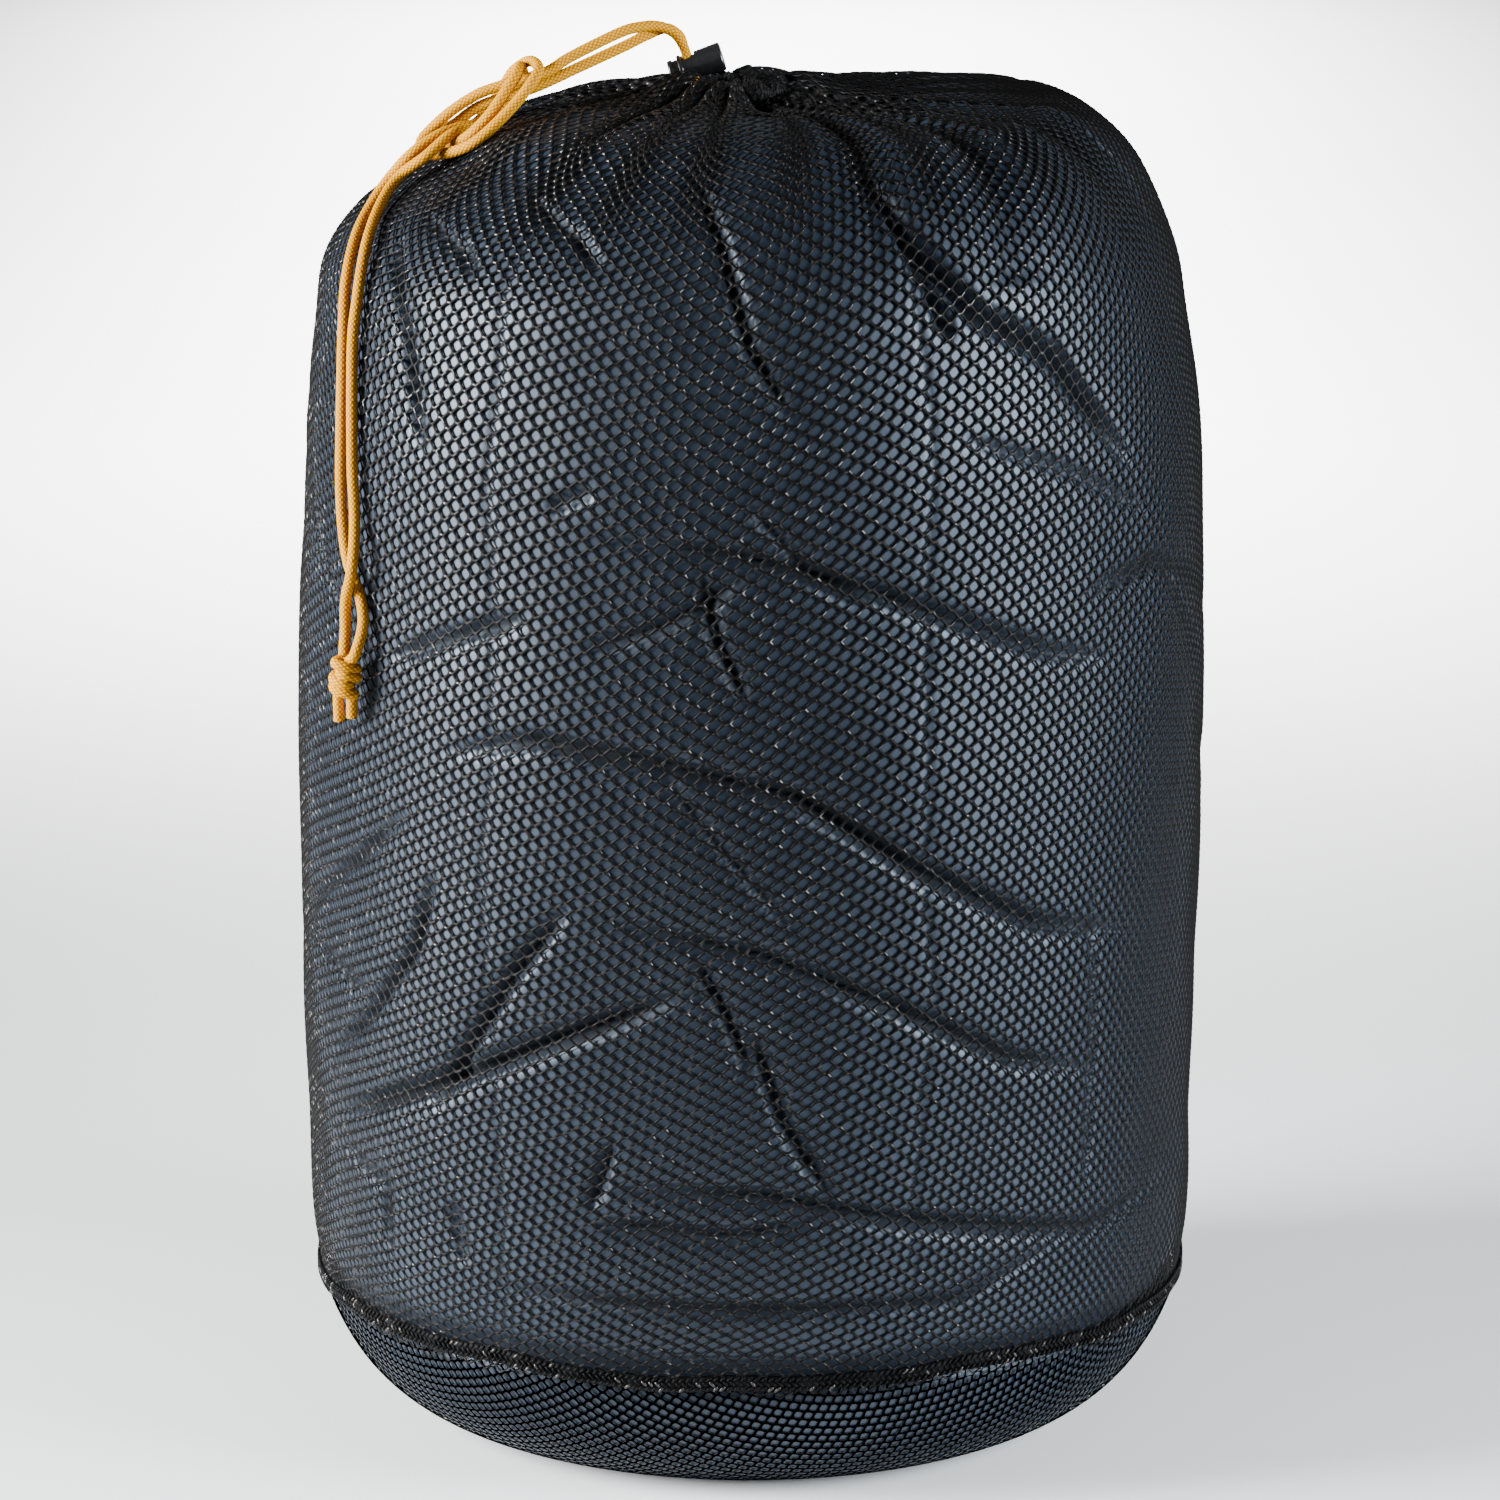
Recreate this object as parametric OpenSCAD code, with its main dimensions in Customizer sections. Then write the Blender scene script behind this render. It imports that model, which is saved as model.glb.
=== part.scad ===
// Mesh storage sack, drawn shut with a cord and a spring cord lock, and stuffed
// with a sleeping bag. Millimetres, +Z up, origin under the middle of the base.
// The sleeping bag is soft, so the sack's top is a little higher on the +X side.

/* [Sack] */
// Radius of the round base seam
seam_r = 188; // [180:1:192]
// Height of the base seam above the floor
seam_z = 60; // [56:1:62]
// Radius of the flat part of the base that rests on the floor
rest_r = 128; // [110:1:140]
// Thickness of the netting
net_t = 0.8; // [0.6:0.1:1.0]
// Width of the overlocked base seam
seam_w = 6; // [4:1:7]

/* [Mouth] */
// Radius of the gathered hem, at the middle of its roll
hem_r = 17; // [16:0.5:17]
// Radius of the hem's roll
hem_roll = 5.2; // [4.8:0.1:5.2]

/* [Cord] */
// Diameter of the drawcord
cord_d = 4.6; // [4:0.1:4.6]
// Radius of the overhand knot that joins the two ends
knot_r = 7; // [6:0.5:7]
// Visible length of the two cut ends below that knot
tail_l = 13; // [10:1:14]

/* [Cord lock] */
// Tilt of the lock's barrel, closed end up
lock_tilt = 18; // [18:1:18]
// Radius of the barrel at its closed end
barrel_r = 6; // [5.9:0.1:6.2]
// Radius of the bore that the plunger slides in
bore_r = 4.4; // [4.3:0.1:4.5]
// Play between the plunger and the bore, on the radius
plunger_play = 0.1; // [0.05:0.01:0.1]
// How far the plunger can be pressed
press_travel = 2; // [1.5:0.1:2]

/* [Hidden] */
$fn = 64;

netting = [0.16, 0.17, 0.20];
black = [0.05, 0.05, 0.06];
orange = [0.85, 0.55, 0.15];
navy = [0.22, 0.28, 0.38];
steel = [0.70, 0.72, 0.74];

gap = 0.25;              // play between cloth layers
around = 36;             // points round the sack
hem_at = [-6, 0, 558.8]; // middle of the gathered mouth
lock_at = [-24.2, -4, 570];
knot_at = [-163.5, -112.5, 336.5];

// Side of the sack, from the base seam to the mouth. Each row is the radius, the
// height, the rise towards +X for each mm of radius, and the shift along X.
side = [
    [seam_r, seam_z + seam_w / 2, 0, 0], [190, 110, 0, 0], [191, 180, 0, 0],
    [190.5, 300, 0, 0], [189, 380, 0, 0], [187, 430, 0, 0], [182, 466, 0, 0],
    [177, 494, 0.012, 0], [162, 521, 0.055, 0], [145, 536.5, 0.085, 0],
    [129, 546, 0.095, 0], [115, 552, 0.06, 0], [96, 556, 0.045, -1],
    [70, 559, 0.03, -3], [40, 560.5, 0.01, -5], [22, 560, 0, -6]
];

// Routes of the two strands from the lock to the end knot. Both go over in an
// arch, tie one loose overhand knot together and hang down the front left side.
left_route = [
    [-27, -6.5, 578], [-31, -7.5, 584], [-38, -10, 587], [-46, -14, 587],
    [-54, -18, 585], [-73, -27, 576.5], [-82.5, -31.5, 571], [-91, -34.5, 568.5],
    [-107, -33, 563.5], [-115, -31.5, 559.5], [-123.5, -30, 553.5],
    [-130, -28.5, 547.5], [-134.5, -29, 542.5], [-134.5, -32.5, 538.5],
    [-129.5, -38, 537.5], [-121.5, -44.5, 539.5], [-113, -50, 543.5],
    [-104.5, -51, 550.5], [-96, -49, 559], [-89, -46.5, 567.5], [-86, -40, 573],
    [-90, -30, 575], [-97, -22, 570], [-102, -19.5, 562],
    [-107.5, -20.5, 554.5], [-112.5, -26, 549], [-119, -32.5, 548],
    [-127.5, -38, 545.5], [-138, -41, 538.5], [-147.5, -39, 528],
    [-154.5, -44, 518], [-159.5, -58, 508.5], [-162.5, -74, 496],
    [-164, -82, 479], [-165, -95, 430], [-165, -97.5, 402],
    [-162.5, -103, 382], [-157, -111, 367.5], [-156, -114, 357],
    [-159, -117, 346]
];
right_route = [
    [-27, -1.5, 578], [-29.5, -2, 582.5], [-35, -3.5, 585.5], [-43, -8, 583],
    [-52, -13, 579], [-71.5, -23, 571], [-81, -28, 567], [-90, -30.5, 563.5],
    [-105.5, -30, 558.5], [-113, -28, 555], [-119.5, -26, 550],
    [-126, -24.5, 545.5], [-130, -26.5, 541], [-129.5, -31.5, 538.5],
    [-124.5, -36, 540], [-119, -41.5, 543], [-112.5, -46, 548],
    [-105.5, -47.5, 555.5], [-99.5, -46.5, 564], [-95, -42, 570.5],
    [-93.5, -33, 573], [-93, -24.5, 567], [-97, -20.5, 560],
    [-102, -21.5, 554.5], [-106.5, -27, 550.5], [-113.5, -33, 547.5],
    [-121.5, -41.5, 546.5], [-132, -46, 538], [-143, -43, 529.5],
    [-149, -50, 521.5], [-153, -67, 512.5], [-155.5, -81, 502.5],
    [-158, -90, 485.5], [-160, -93, 466], [-160, -104, 423],
    [-159, -109, 399], [-160, -115, 380.5], [-163, -109.5, 366.5],
    [-163.5, -107.5, 354], [-164, -110, 345]
];

// Points of a quarter-round bend from a to c with its corner at b
function bend(a, b, c, n) = [
    for (i = [0:n]) let (t = i / n) (1 - t) ^ 2 * a + 2 * t * (1 - t) * b + t ^ 2 * c
];

// Rounded lower edge of the base, from the flat part up to the seam
base_edge = bend([rest_r, 0], [rest_r + 42, 8], [seam_r, seam_z - seam_w / 2], 8);

// Unit vector, and the inward normal of an outline of [radius, height, ...] rows
function unit(v) = v / norm(v);
function step_at(o, i) = let (a = o[max(i - 1, 0)], b = o[min(i + 1, len(o) - 1)])
    unit([b[0] - a[0], b[1] - a[1]]);
function inward(o, i) = let (s = step_at(o, i)) [-s[1], s[0]];

// The outline moved inward by d
function inset(o, d) = [
    for (i = [0:len(o) - 1]) let (n = inward(o, i))
        [o[i][0] + d * n[0], o[i][1] + d * n[1], o[i][2], o[i][3]]
];
function flat_rows(o) = [for (p = o) [p[0], p[1], 0, 0]];

// One ring of points round the sack for a row of an outline
function ring(row) = [
    for (i = [0:around - 1]) let (a = i * 360 / around)
        [row[0] * cos(a) + row[3], row[0] * sin(a), row[1] + row[2] * row[0] * cos(a)]
];

// Triangles between two neighbouring rings of n points, the first starting at p
// and the second at q
function belt(p, q, n) = [
    for (i = [0:n - 1]) let (j = (i + 1) % n)
        each [[p + i, q + j, p + j], [p + i, q + i, q + j]]
];

// A skin of constant thickness that follows an outline, open at both ends
module net_skin(outline, t) {
    rows = concat(outline, [for (i = [len(outline) - 1:-1:0]) inset(outline, t)[i]]);
    n = len(rows);
    polyhedron(
        points = [for (row = rows) each ring(row)],
        faces = [for (i = [0:n - 1]) each belt(i * around, ((i + 1) % n) * around, around)],
        convexity = 6);
}

// A solid that fills an outline, with flat ends
module filled(outline) {
    n = len(outline);
    top = n * around;
    polyhedron(
        points = concat([for (row = outline) each ring(row)],
            [[outline[0][3], 0, outline[0][1]], [outline[n - 1][3], 0, outline[n - 1][1]]]),
        faces = concat(
            [for (i = [0:n - 2]) each belt(i * around, (i + 1) * around, around)],
            [for (i = [0:around - 1]) [top, i, (i + 1) % around]],
            [for (i = [0:around - 1]) let (r = (n - 1) * around)
                [top + 1, r + (i + 1) % around, r + i]]),
        convexity = 4);
}

// Direction of a route at point i
function along(p, i) = unit(p[min(i + 1, len(p) - 1)] - p[max(i - 1, 0)]);

// A steady sideways direction for each point, carried along the route
function carried(p, side_dir, i = 0, out = []) = i == len(p) ? out :
    let (t = along(p, i), v = unit(side_dir - (side_dir * t) * t))
        carried(p, v, i + 1, concat(out, [v]));

// A round tube of radius r along a route
module tube(route, r, sides = 8) {
    n = len(route);
    v = carried(route, [0, 1, 0]);
    polyhedron(
        points = [
            for (i = [0:n - 1]) let (w = cross(along(route, i), v[i]))
                for (k = [0:sides - 1]) let (a = k * 360 / sides)
                    route[i] + r * (cos(a) * v[i] + sin(a) * w)
        ],
        faces = concat(
            [[for (k = [0:sides - 1]) k]],
            [for (i = [0:n - 2]) each
                [for (k = [0:sides - 1]) let (m = (k + 1) % sides)
                    each [[i * sides + k, (i + 1) * sides + m, i * sides + m],
                          [i * sides + k, (i + 1) * sides + k, (i + 1) * sides + m]]]],
            [[for (k = [sides - 1:-1:0]) (n - 1) * sides + k]]),
        convexity = 8);
}

// Netting side of the sack
module side_panel() {
    color(netting) net_skin(side, net_t);
}

// Round netting base with its rounded edge
module base_panel() {
    inner = [for (i = [len(base_edge) - 1:-1:0]) inset(flat_rows(base_edge), net_t)[i]];
    color(netting)
        rotate_extrude()
            polygon(concat([[0, 0]], base_edge,
                [for (p = inner) [p[0], max(p[1], net_t)]], [[0, net_t]]));
}

// Overlocked seam that joins the side to the base, with a rounded outer face
module base_seam() {
    bite = net_t;
    bulge = 1.6;
    color(black)
        translate([0, 0, seam_z])
            rotate_extrude()
                intersection() {
                    translate([seam_r - bite, -seam_w / 2]) square([bite + bulge, seam_w]);
                    translate([seam_r + bulge - seam_w, 0]) circle(r = seam_w);
                }
}

// Overlocked seam that closes the side panel into a tube, at the back
module side_seam() {
    strip_w = 5;
    inner = inset(side, -0.05);
    outer = inset(side, -1.2);
    n = len(side);
    color(black)
        polyhedron(
            points = [for (i = [0:n - 1]) each [
                [side[i][3] - strip_w / 2, inner[i][0], inner[i][1]],
                [side[i][3] + strip_w / 2, inner[i][0], inner[i][1]],
                [side[i][3] + strip_w / 2, outer[i][0], outer[i][1]],
                [side[i][3] - strip_w / 2, outer[i][0], outer[i][1]]]],
            faces = concat(
                [[3, 2, 1, 0]],
                [for (i = [0:n - 2]) each belt((i + 1) * 4, i * 4, 4)],
                [[for (k = [0:3]) (n - 1) * 4 + k]]),
            convexity = 4);
}

// Places its children in the lock's frame: X along the barrel towards its closed
// end, Z along the cords
module in_lock() {
    translate(lock_at) rotate([0, -lock_tilt, 0]) children();
}

// The two strands side by side, squeezed flat where the lock grips them
pair_w = 3.45;
pair_l = 4.1;
pair_x = -0.5;
module pair_outline(grow = 0) {
    for (s = [-1, 1])
        translate([pair_x, s * (pair_w / 2 + 0.05)]) {
            for (e = [-1, 1])
                translate([e * (pair_l - pair_w) / 2, 0]) circle(d = pair_w + 2 * grow);
            square([pair_l - pair_w, pair_w + 2 * grow], center = true);
        }
}
straight_below = 11.2;
straight_above = 8.6;

// Gathered hem round the mouth, with the channel that the cord runs in
module drawcord_channel() {
    color(netting)
        difference() {
            translate(hem_at)
                rotate_extrude() translate([hem_r, 0]) circle(r = hem_roll);
            translate(hem_at)
                rotate_extrude() translate([hem_r, 0]) circle(d = cord_d + 0.6);
            in_lock()
                translate([pair_x, 0, -straight_below - 3])
                    linear_extrude(height = 20)
                        square([pair_l + 0.6, 2 * pair_w + 0.8], center = true);
        }
}

// Cord inside the hem, all the way round from one side of the exit to the other
module drawcord_in_channel() {
    exit_half = 14;
    exit_at = 194;
    color(orange)
        translate(hem_at)
            rotate([0, 0, exit_at + exit_half])
                rotate_extrude(angle = 360 - 2 * exit_half)
                    translate([hem_r, 0]) circle(d = cord_d);
}

// The two strands from the hem up through the lock
module drawcord_in_lock() {
    color(orange)
        in_lock()
            translate([0, 0, -straight_below])
                linear_extrude(height = straight_below + straight_above) pair_outline();
}

module drawcord_left_strand() {
    color(orange) tube(left_route, cord_d / 2);
}

module drawcord_right_strand() {
    color(orange) tube(right_route, cord_d / 2);
}

// Tight overhand knot that ties the two ends together
module end_knot() {
    color(orange)
        translate(knot_at)
            for (s = [-1, 1]) translate([0, 0, 1.2 * s]) sphere(r = knot_r);
}

// The two cut ends below the knot
module cord_ends() {
    color(orange)
        for (end = [[-3, 3, tail_l], [2.4, 0, tail_l - 2]])
            translate(knot_at + [end[0], end[1], -knot_r - end[2] + 1])
                cylinder(d = cord_d, h = end[2] + 2);
}

barrel_end = -4.9;   // open end of the barrel
barrel_cap = 13.6;   // closed end
slot_l = 5.2;        // slot through the barrel, along its axis
slot_w = 7.3;        // and across it

// A lock piece turned about the barrel's axis from an outline of [radius, place]
module turned(outline) {
    rotate([0, 90, 0]) rotate_extrude() polygon(outline);
}

// Barrel of the cord lock, a blind bore with a slot across it for the cords
module lock_barrel() {
    rim = 0.9;
    color(black)
        in_lock()
            difference() {
                turned(concat(
                    [[bore_r, barrel_end], [5.5, barrel_end], [5.8, barrel_end + 0.3],
                     [5.8, barrel_end + 1.3], [5.2, barrel_end + 1.7]],
                    [for (a = [0:15:90])
                        [barrel_r - rim + rim * cos(a), barrel_cap - rim + rim * sin(a)]],
                    [[0, barrel_cap], [0, barrel_cap - 1.8], [bore_r, barrel_cap - 1.8]]));
                cube([slot_l, slot_w, 20], center = true);
            }
}

// Plunger with its own slot, out of line with the barrel's until it is pressed
module lock_plunger() {
    stem_r = bore_r - plunger_play;
    grip_x = 1.6;
    slot_from = -slot_l / 2 - press_travel;
    color(black)
        in_lock()
            difference() {
                turned(concat(
                    [[0, -9.4], [3.4, -9.4]],
                    [for (a = [75:-15:0]) [3.8 + 1.1 * cos(a), -8.3 - 1.1 * sin(a)]],
                    [[4.9, -7.6], [stem_r, -7.1], [stem_r, 4], [0, 4]]));
                translate([slot_from, -slot_w / 2, -10])
                    cube([grip_x - slot_from, slot_w, 20]);
            }
}

// Compression spring between the plunger and the end of the bore
module lock_spring() {
    turns = 5;
    wire_r = 0.35;
    coil_r = 3.4;
    from = 4 + wire_r + 0.05;
    to = barrel_cap - 1.8 - wire_r - 0.05;
    steps = 11;
    coil = [
        for (i = [0:turns * steps]) let (a = i * 360 / steps, t = i / (turns * steps))
            [from + t * (to - from), coil_r * cos(a), coil_r * sin(a)]
    ];
    color(steel) in_lock() tube(coil, wire_r, 6);
}

// Sleeping bag stuffed into the sack, dished under the gathered mouth
module sleeping_bag() {
    skin = concat(flat_rows(base_edge), side);
    under = inset(skin, net_t + gap);
    seam_row = len(base_edge) - 1;
    dish_z = hem_at[2] - hem_roll - gap;
    dish_r = hem_r + hem_roll + gap;
    rows = concat([[rest_r, net_t + gap, 0, 0]],
        [for (i = [1:len(under) - 2]) if (i != seam_row) under[i]],
        [[dish_r + 3, dish_z + 5, 0, -6], [dish_r, dish_z, 0, -6]]);
    color(navy) filled(rows);
}

side_panel();
base_panel();
base_seam();
side_seam();
drawcord_channel();
drawcord_in_channel();
drawcord_in_lock();
drawcord_left_strand();
drawcord_right_strand();
end_knot();
cord_ends();
lock_barrel();
lock_plunger();
lock_spring();
sleeping_bag();
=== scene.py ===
"""A mesh storage sack with a sleeping bag in it, drawn shut by a knotted cord.

All sizes are in millimetres and are turned into metres where a mesh is made.
Angles round the sack run anticlockwise from +X, so the front is at -90 degrees.
"""
import math

import bmesh
import bpy
import numpy as np
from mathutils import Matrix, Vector


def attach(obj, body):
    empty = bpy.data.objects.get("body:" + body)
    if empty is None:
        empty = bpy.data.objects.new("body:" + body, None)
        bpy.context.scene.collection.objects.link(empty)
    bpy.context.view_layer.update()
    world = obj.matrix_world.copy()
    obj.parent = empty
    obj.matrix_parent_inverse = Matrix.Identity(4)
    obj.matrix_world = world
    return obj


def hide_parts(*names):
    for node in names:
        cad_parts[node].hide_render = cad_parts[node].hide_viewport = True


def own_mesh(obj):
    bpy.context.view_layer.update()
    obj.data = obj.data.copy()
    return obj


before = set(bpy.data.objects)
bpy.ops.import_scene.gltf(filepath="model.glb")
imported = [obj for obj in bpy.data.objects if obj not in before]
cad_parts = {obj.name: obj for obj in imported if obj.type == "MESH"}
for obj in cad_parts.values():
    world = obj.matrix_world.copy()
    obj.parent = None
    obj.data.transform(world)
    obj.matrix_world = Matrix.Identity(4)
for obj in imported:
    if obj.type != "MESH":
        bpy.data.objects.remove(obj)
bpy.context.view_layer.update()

MM = 0.001
random = np.random.default_rng(31)


# ---------------- camera, floor and light

VIEW_UP = math.radians(13)  # the camera looks down by this much
VIEW_FROM = 2.6  # metres from the middle of the sack
VIEW_MIDDLE = 0.270
VIEW_AIM = 0.2796
FOCAL = 147.1


def look_at(obj, point):
    away = Vector(point) - obj.location
    obj.rotation_euler = away.to_track_quat("-Z", "Y").to_euler()


camera = bpy.data.objects.new("camera", bpy.data.cameras.new("camera"))
camera.data.sensor_width = 36
camera.data.lens = FOCAL
camera.location = (0, -VIEW_FROM * math.cos(VIEW_UP), VIEW_MIDDLE + VIEW_FROM * math.sin(VIEW_UP))
look_at(camera, (0, 0, VIEW_AIM))
bpy.context.collection.objects.link(camera)
bpy.context.scene.camera = camera


def area_light(name, place, size, watts, spread, colour=(1, 1, 1)):
    """A rectangular lamp that faces down. Its light keeps within spread degrees."""
    light = bpy.data.lights.new(name, "AREA")
    light.shape = "RECTANGLE"
    light.size, light.size_y = size
    light.energy = watts
    light.spread = math.radians(spread)
    light.color = colour
    obj = bpy.data.objects.new(name, light)
    obj.location = place
    bpy.context.collection.objects.link(obj)
    return obj


def softbox(name, azimuth, height, distance, size, watts, colour):
    """A lamp that faces the sack. Azimuth 0 is behind the camera, and positive is to its right."""
    a = math.radians(azimuth)
    place = (distance * math.sin(a), -distance * math.cos(a), height)
    look_at(area_light(name, place, size, watts, 75, colour), (0, 0, 0.3))


softbox("key_left", -76, 0.68, 1.6, (0.8, 1.1), 43, (0.97, 0.985, 1.0))
softbox("fill_right", 66, 0.66, 1.7, (1.0, 1.05), 27, (0.88, 0.94, 1.0))
area_light("background", (0, 3.9, 2.4), (1.0, 5.0), 270, 60)

world = bpy.data.worlds.new("studio")
world.use_nodes = True
sky = world.node_tree.nodes["Background"].inputs
sky["Color"].default_value = (1, 1, 1, 1)
sky["Strength"].default_value = 0.22
bpy.context.scene.world = world


# ---------------- materials

class Shader:
    """A principled material with a few helpers for building its nodes."""

    def __init__(self, name, **values):
        self.material = bpy.data.materials.new(name)
        self.material.use_nodes = True
        self.tree = self.material.node_tree
        self.out = self.tree.nodes["Principled BSDF"]
        for socket, value in values.items():
            self.out.inputs[socket.replace("_", " ")].default_value = value

    def node(self, kind, **settings):
        node = self.tree.nodes.new(kind)
        for name, value in settings.items():
            if name in node.inputs:
                node.inputs[name].default_value = value
            else:
                setattr(node, name, value)
        return node

    def link(self, a, b):
        self.tree.links.new(a, b)

    def maths(self, operation, *values):
        node = self.node("ShaderNodeMath", operation=operation)
        for socket, value in zip(node.inputs, values):
            if isinstance(value, (int, float)):
                socket.default_value = value
            else:
                self.link(value, socket)
        return node.outputs[0]

    def noise(self, scale, detail, stretch=(1, 1, 1)):
        place = self.node("ShaderNodeTexCoord")
        mapping = self.node("ShaderNodeMapping", Scale=stretch)
        self.link(place.outputs["Object"], mapping.inputs["Vector"])
        noise = self.node("ShaderNodeTexNoise", Scale=scale, Detail=detail)
        self.link(mapping.outputs["Vector"], noise.inputs["Vector"])
        return noise.outputs["Fac"]

    def ramp(self, value, *stops):
        node = self.node("ShaderNodeValToRGB")
        points = node.color_ramp.elements
        while len(points) < len(stops):
            points.new(0.5)
        for point, (place, colour) in zip(points, stops):
            point.position = place
            point.color = (*colour, 1)
        self.link(value, node.inputs[0])
        return node.outputs["Color"]

    def colour(self, value):
        self.link(value, self.out.inputs["Base Color"])

    def roughness(self, value, low, high):
        node = self.node("ShaderNodeMapRange", **{"To Min": low, "To Max": high})
        self.link(value, node.inputs["Value"])
        self.link(node.outputs[0], self.out.inputs["Roughness"])

    def bump(self, value, strength, distance):
        node = self.node("ShaderNodeBump", Strength=strength, Distance=distance)
        self.link(value, node.inputs["Height"])
        self.link(node.outputs[0], self.out.inputs["Normal"])


def satin_material():
    """The sleeping bag's shell. Where its mesh says that it is deep in a fold, its colour is darkened as
    painted shade and it is rougher.
    """
    s = Shader("slate_satin", Specular_IOR_Level=0.36, Sheen_Weight=0.02, Sheen_Roughness=0.35)
    s.out.inputs["Sheen Tint"].default_value = (0.55, 0.68, 0.9, 1)
    s.out.inputs["Specular Tint"].default_value = (0.74, 0.86, 1.0, 1)
    cloud = s.noise(9, 4)
    # Painted shade: deep in the folds the colour darkens, down to the ramp's near-black first stop, and
    # the roughness rises.
    deep = s.node("ShaderNodeAttribute", attribute_name="deep").outputs["Fac"]
    shade = s.maths("SUBTRACT", cloud, s.maths("MULTIPLY", deep, 0.6))
    s.colour(s.ramp(shade, (0.0, (0.0008, 0.0012, 0.002)), (0.3, (0.007, 0.011, 0.018)),
                    (0.7, (0.0105, 0.0165, 0.026))))
    s.roughness(s.maths("ADD", s.maths("MULTIPLY", s.noise(40, 3), 0.16), deep), 0.40, 0.90)
    weave = s.noise(1500, 2, (1, 1, 0.35))
    pucker = s.noise(120, 4)
    s.bump(s.maths("ADD", s.maths("MULTIPLY", weave, 0.12), pucker), 0.14, 0.0008)
    return s.material


def yarn_material(name, colour, rough, gloss):
    """Netting yarn in one of its three colours. The brown and grey ones are glossier, and their lighter
    colour is painted glint. The netting's relief is all in its mesh.
    """
    return Shader(name, Base_Color=(*colour, 1), Roughness=rough, Specular_IOR_Level=gloss).material


def mottled_material(name, shade, *stops, rough=None, bump=None, **values):
    """A material that varies by noise. shade is the noise's (scale, detail) for the colours; rough
    adds the two ends of the roughness to its own, and bump adds a strength and a distance."""
    s = Shader(name, **values)
    s.colour(s.ramp(s.noise(*shade), *stops))
    if rough:
        s.roughness(s.noise(*rough[:2]), *rough[2:])
    if bump:
        s.bump(s.noise(*bump[:2]), *bump[2:])
    return s.material


BRAID_LOBES = 4  # half the number of plaits round the cord
BRAID_PITCH = 4.4  # length of one plait's repeat along the cord


def cord_material():
    """Braided sheath, darker between its plaits as painted shade. The plaits follow the cord's own
    coordinates, which its mesh carries.
    """
    s = Shader("mustard_braid", Specular_IOR_Level=0.08)
    place = s.node("ShaderNodeUVMap", uv_map="braid")
    parts = s.node("ShaderNodeSeparateXYZ")
    s.link(place.outputs[0], parts.inputs[0])
    along = s.maths("MULTIPLY", parts.outputs[0], math.tau)
    round_it = s.maths("MULTIPLY", parts.outputs[1], math.tau * BRAID_LOBES)
    left = s.maths("ABSOLUTE", s.maths("SINE", s.maths("ADD", round_it, along)))
    right = s.maths("ABSOLUTE", s.maths("SINE", s.maths("SUBTRACT", round_it, along)))
    plait = s.maths("MULTIPLY", left, right)
    fibres = s.noise(1400, 3, (1, 1, 0.4))
    # Painted shade and own tone: the colour darkens in the grooves between the plaits, where shade falls,
    # and the fibre noise adds the cord's own random tone.
    tone = s.maths("ADD", s.maths("MULTIPLY", plait, 0.75), s.maths("MULTIPLY", fibres, 0.35))
    s.colour(s.ramp(tone, (0.08, (0.16, 0.052, 0.0)), (0.45, (0.44, 0.18, 0.0)),
                    (0.85, (0.66, 0.31, 0.0))))
    s.roughness(s.noise(300, 2), 0.5, 0.72)
    s.bump(s.maths("ADD", plait, s.maths("MULTIPLY", fibres, 0.6)), 0.5, 0.0003)
    return s.material


SATIN = satin_material()
# The brown and grey yarns are glossier, and their lighter colour is painted glint, put where the knots
# catch the light.
YARNS = [yarn_material("yarn_black", (0.0022, 0.0020, 0.0021), 0.50, 0.07),
         yarn_material("yarn_brown_painted_glint", (0.016, 0.013, 0.011), 0.28, 0.32),
         yarn_material("yarn_grey_painted_glint", (0.009, 0.009, 0.010), 0.32, 0.22)]
THREAD = mottled_material(
    "binding_thread", (260, 3), (0.35, (0.0008, 0.0008, 0.0010)), (0.7, (0.0024, 0.0022, 0.0024)),
    rough=(300, 2, 0.4, 0.6), bump=(2600, 2, 0.3, 0.0002), Specular_IOR_Level=0.05)
HEM = mottled_material(
    "gathered_netting", (500, 4), (0.35, (0.0010, 0.0010, 0.0012)), (0.7, (0.005, 0.0046, 0.0046)),
    rough=(200, 2, 0.55, 0.8), bump=(700, 4, 0.8, 0.0006), Specular_IOR_Level=0.15)
BRAID = cord_material()
CORE = mottled_material(
    "cord_core", (1500, 2), (0.3, (0.55, 0.50, 0.42)), (0.7, (0.85, 0.82, 0.75)), Roughness=0.8)
LOCK = mottled_material(
    "lock_plastic", (350, 4), (0.3, (0.003, 0.003, 0.0035)), (0.75, (0.007, 0.007, 0.0075)),
    rough=(500, 5, 0.22, 0.36), bump=(1200, 3, 0.15, 0.0002),
    Specular_IOR_Level=0.6, Coat_Weight=0.35, Coat_Roughness=0.12)
STEEL = mottled_material(
    "spring_steel", (900, 3), (0.3, (0.42, 0.43, 0.45)), (0.7, (0.62, 0.63, 0.65)),
    rough=(1200, 2, 0.18, 0.35), Metallic=1.0)
FLOOR = mottled_material(
    "pale_floor", (1.2, 2), (0.2, (0.86, 0.86, 0.86)), (0.8, (0.90, 0.90, 0.90)),
    Roughness=0.75, Specular_IOR_Level=0.2)


# ---------------- mesh helpers

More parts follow.
